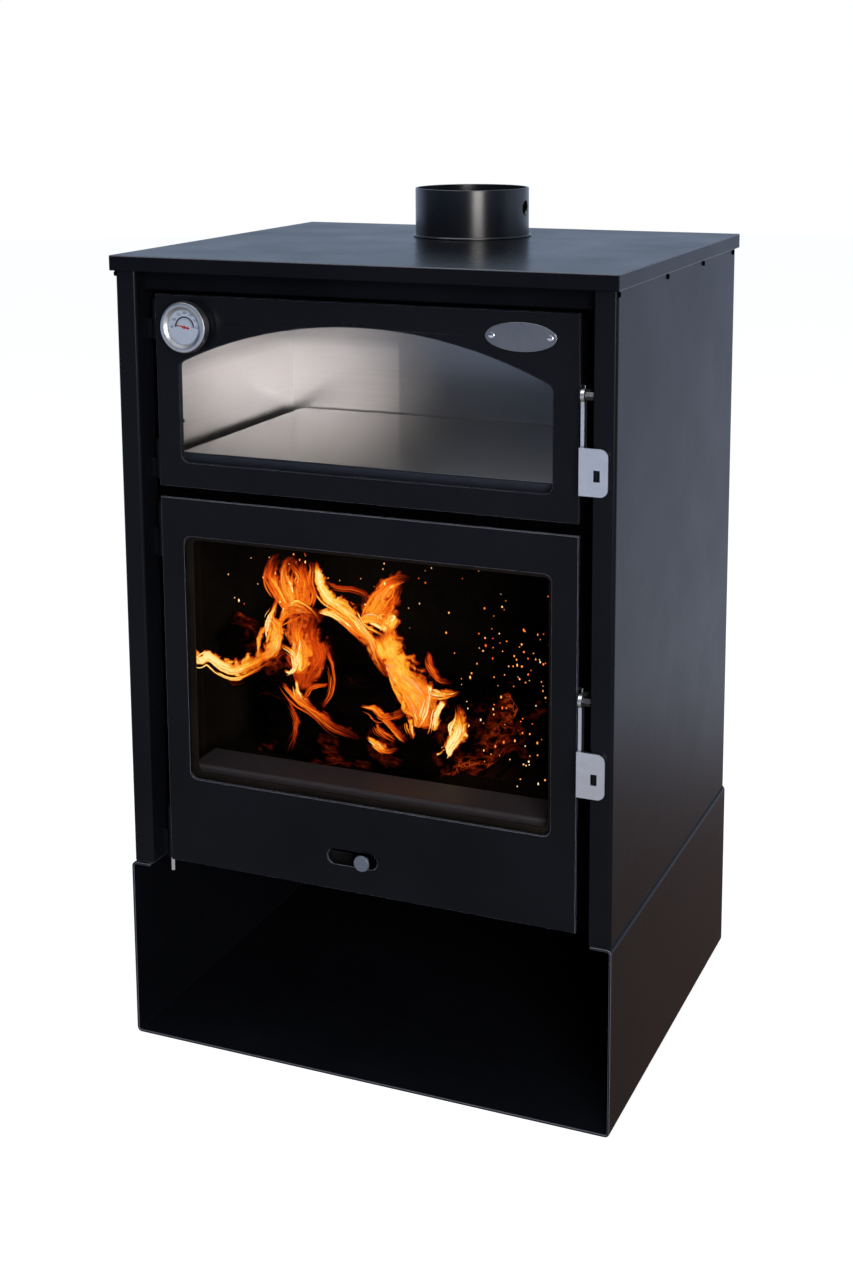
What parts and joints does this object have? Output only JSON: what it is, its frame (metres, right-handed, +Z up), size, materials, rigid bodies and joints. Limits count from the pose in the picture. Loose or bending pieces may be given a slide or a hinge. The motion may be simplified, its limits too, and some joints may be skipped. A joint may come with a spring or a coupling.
{
  "type": "wood-burning stove with oven",
  "caption": "Freestanding steel wood stove: log store below, firebox with glass door, arched-window oven above, flue collar on top.",
  "frame": {"origin": "middle of the base on the floor", "axes": "+Z up, -Y out of the doors, +X to the right as one faces the doors"},
  "size_m": [0.635, 0.542, 1.0638],
  "materials": {
    "stove_paint": "matt black heat-proof paint",
    "cast_iron": "dark heat-blackened plate",
    "stainless": "brushed stainless sheet",
    "satin_steel": "satin stainless",
    "chrome": "bright plated steel",
    "firebrick": "dull fired clay",
    "rope_seal": "plaited glass-fibre rope",
    "oven_glass": "clear ceramic glass",
    "fire_glass": "smoked ceramic glass",
    "dial_white": "white enamelled dial",
    "needle_red": "red painted pointer"
  },
  "bodies": {
    "stove": {"base_shell": "stove_paint", "base_back": "stove_paint", "side_left": "stove_paint", "side_right": "stove_paint", "back_panel": "stove_paint", "front_header": "stove_paint", "lid": "stove_paint", "flue_collar": "stove_paint", "flue_ring": "stove_paint", "body_floor": "cast_iron", "front_plate": "cast_iron", "firebox_shell": "cast_iron", "smoke_top": "cast_iron", "fire_floor": "cast_iron", "brick_left": "firebrick", "brick_right": "firebrick", "brick_back": "firebrick", "brick_floor": "firebrick", "baffle": "firebrick", "grate": "cast_iron", "ash_pan": "stove_paint", "log_guard": "cast_iron", "oven_shell": "stainless", "oven_tray": "stainless", "hinge_leaf_1": "stove_paint", "hinge_leaf_2": "stove_paint", "hinge_leaf_3": "stove_paint", "hinge_leaf_4": "stove_paint", "hinge_pin_1": "chrome", "hinge_pin_2": "chrome", "hinge_pin_3": "chrome", "hinge_pin_4": "chrome", "oven_pivot_bolt": "satin_steel", "fire_pivot_bolt": "satin_steel"},
    "oven_door": {"oven_door_skin": "stove_paint", "oven_door_rim": "cast_iron", "oven_glass": "oven_glass", "oven_glass_frame": "cast_iron", "oven_gasket": "rope_seal", "oven_strike": "satin_steel", "thermo_body": "satin_steel", "thermo_bezel": "satin_steel", "thermo_dial": "dial_white", "thermo_lens": "oven_glass", "badge_plate": "satin_steel", "badge_rivet_left": "chrome", "badge_rivet_right": "chrome"},
    "needle": {"thermo_needle": "needle_red"},
    "oven_latch": {"oven_lever": "satin_steel"},
    "fire_door": {"fire_door_skin": "stove_paint", "fire_door_rim": "cast_iron", "fire_glass": "fire_glass", "fire_glass_frame": "cast_iron", "fire_gasket": "rope_seal", "fire_strike": "satin_steel", "air_channel": "cast_iron"},
    "air_control": {"air_shutter": "cast_iron", "air_knob": "stove_paint"},
    "fire_latch": {"fire_lever": "satin_steel"}
  },
  "joints": [
    {"name": "oven_door_hinge", "type": "hinge", "parent": "stove", "child": "oven_door", "pos_m": [-0.272, -0.239, 0.7184], "axis": [0, 0, -1], "range_deg": [0, 75]},
    {"name": "needle_turn", "type": "hinge", "parent": "oven_door", "child": "needle", "pos_m": [-0.22, -0.2637, 0.9168], "axis": [0, 1, 0], "range_deg": [-12, 168], "stiffness_Nm_per_rad": 0.001},
    {"name": "oven_latch_pivot", "type": "hinge", "parent": "stove", "child": "oven_latch", "pos_m": [0.2727, -0.257, 0.865], "axis": [-1, 0, 0], "range_deg": [0, 55]},
    {"name": "fire_door_hinge", "type": "hinge", "parent": "stove", "child": "fire_door", "pos_m": [-0.272, -0.239, 0.2353], "axis": [0, 0, -1], "range_deg": [0, 95]},
    {"name": "air_slide", "type": "slide", "parent": "fire_door", "child": "air_control", "axis": [1, 0, 0], "range_m": [-0.043, 0.011]},
    {"name": "fire_latch_pivot", "type": "hinge", "parent": "stove", "child": "fire_latch", "pos_m": [0.2727, -0.257, 0.518], "axis": [-1, 0, 0], "range_deg": [0, 55]}
  ]
}
